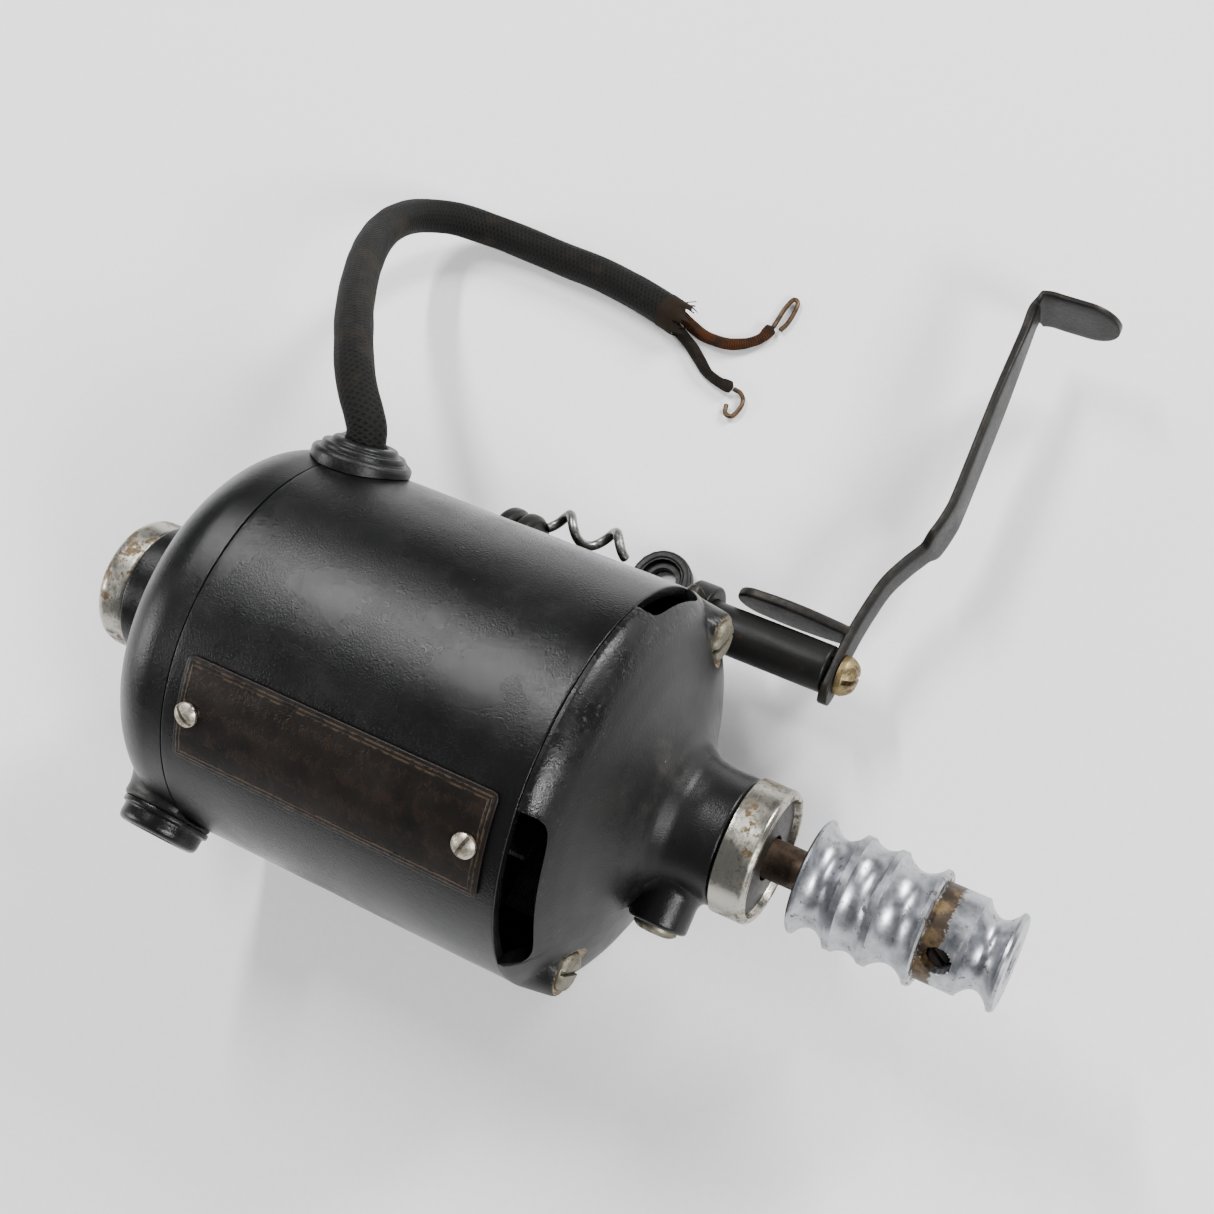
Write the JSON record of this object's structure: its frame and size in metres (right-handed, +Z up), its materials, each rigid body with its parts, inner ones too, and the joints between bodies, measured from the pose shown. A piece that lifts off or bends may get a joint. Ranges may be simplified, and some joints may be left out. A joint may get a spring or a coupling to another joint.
{
  "type": "small electric drive motor",
  "caption": "Small black universal motor with a stepped belt pulley, a sprung lever on a rear rod, a base with lugs and a short cut supply cord.",
  "frame": {"origin": "on the base's flat underside, straight below the middle of the motor body", "axes": "+X along the rotor's axis towards the pulley, +Y towards the lever and the cord, +Z up"},
  "size_m": [0.2111, 0.1907, 0.0878],
  "materials": {
    "japan_black": "glossy black stoved enamel, scuffed",
    "nickel": "tarnished nickel plate",
    "bronze": "sintered bearing bronze",
    "felt": "oiled wool felt",
    "fibre": "red vulcanised fibre",
    "blackened_steel": "blackened steel, worn at the edges",
    "plate_bronze": "dark bronzed sheet",
    "lamination": "stacked electrical steel",
    "enamelled_wire": "varnished windings",
    "moulded_black": "black phenolic moulding",
    "brass": "aged brass",
    "carbon": "pressed carbon",
    "spring_steel": "bright spring wire",
    "rusty_steel": "steel with brown rust",
    "copper": "turned copper segments",
    "pulley_steel": "bright turned steel, dented and stained",
    "rubber": "matte black rubber",
    "cord_braid": "black cotton braid over rubber",
    "rust_cloth": "rust-brown cotton lapping",
    "dark_cloth": "dark brown cotton lapping",
    "bare_wire": "tarnished bare copper strands"
  },
  "bodies": {
    "motor": {"motor_body": "japan_black", "left_end_bell": "japan_black", "right_end_bell": "japan_black", "left_bearing_cap": "nickel", "right_bearing_cap": "nickel", "left_oil_plug": "nickel", "right_oil_plug": "nickel", "plate_screw_left": "nickel", "plate_screw_right": "nickel", "left_bush": "bronze", "right_bush": "bronze", "left_felt_washer": "felt", "right_felt_washer": "felt", "left_thrust_washer": "fibre", "right_thrust_washer": "fibre", "front_through_bolt": "blackened_steel", "back_through_bolt": "blackened_steel", "mounting_base": "blackened_steel", "base_screw_left": "blackened_steel", "base_screw_right": "blackened_steel", "pivot_bracket": "blackened_steel", "bracket_screw": "blackened_steel", "stop_horn": "blackened_steel", "rating_plate": "plate_bronze", "field_core": "lamination", "upper_field_coil": "enamelled_wire", "lower_field_coil": "enamelled_wire", "front_brush_holder": "moulded_black", "back_brush_holder": "moulded_black", "front_brush_cap": "moulded_black", "back_brush_cap": "moulded_black", "front_brush_tube": "brass", "back_brush_tube": "brass", "front_brush_spring": "spring_steel", "back_brush_spring": "spring_steel", "return_spring": "spring_steel", "cord_grommet": "rubber", "supply_cord": "cord_braid", "rust_conductor": "rust_cloth", "dark_conductor": "dark_cloth", "wire_loop": "bare_wire", "wire_hook": "bare_wire"},
    "rotor": {"rotor_shaft": "rusty_steel", "armature_core": "lamination", "left_winding": "enamelled_wire", "right_winding": "enamelled_wire", "commutator": "copper", "cooling_fan": "lamination", "drive_pulley": "pulley_steel", "pulley_set_screw": "blackened_steel"},
    "front_brush": {"front_carbon_brush": "carbon"},
    "back_brush": {"back_carbon_brush": "carbon"},
    "lever": {"lever_strap": "blackened_steel", "lever_rod": "blackened_steel", "lever_screw": "brass", "rod_collar": "blackened_steel", "rod_lock_collar": "blackened_steel"}
  },
  "joints": [
    {"name": "rotor_spin", "type": "hinge", "parent": "motor", "child": "rotor", "pos_m": [0, 0, 0.046], "axis": [1, 0, 0], "continuous": true},
    {"name": "lever_swing", "type": "hinge", "parent": "motor", "child": "lever", "pos_m": [0, 0.04675, 0.0187], "axis": [1, 0, 0], "range_deg": [0, 25], "stiffness_Nm_per_rad": 0.1, "springref_deg": -17.19, "deforming": ["return_spring"]},
    {"name": "front_brush_slide", "type": "slide", "parent": "motor", "child": "front_brush", "axis": [0, -1, 0], "range_m": [0, 0.004], "stiffness_N_per_m": 60, "springref_m": -0.01, "deforming": ["front_brush_spring"]},
    {"name": "back_brush_slide", "type": "slide", "parent": "motor", "child": "back_brush", "axis": [0, 1, 0], "range_m": [0, 0.004], "stiffness_N_per_m": 60, "springref_m": -0.01, "deforming": ["back_brush_spring"]}
  ]
}
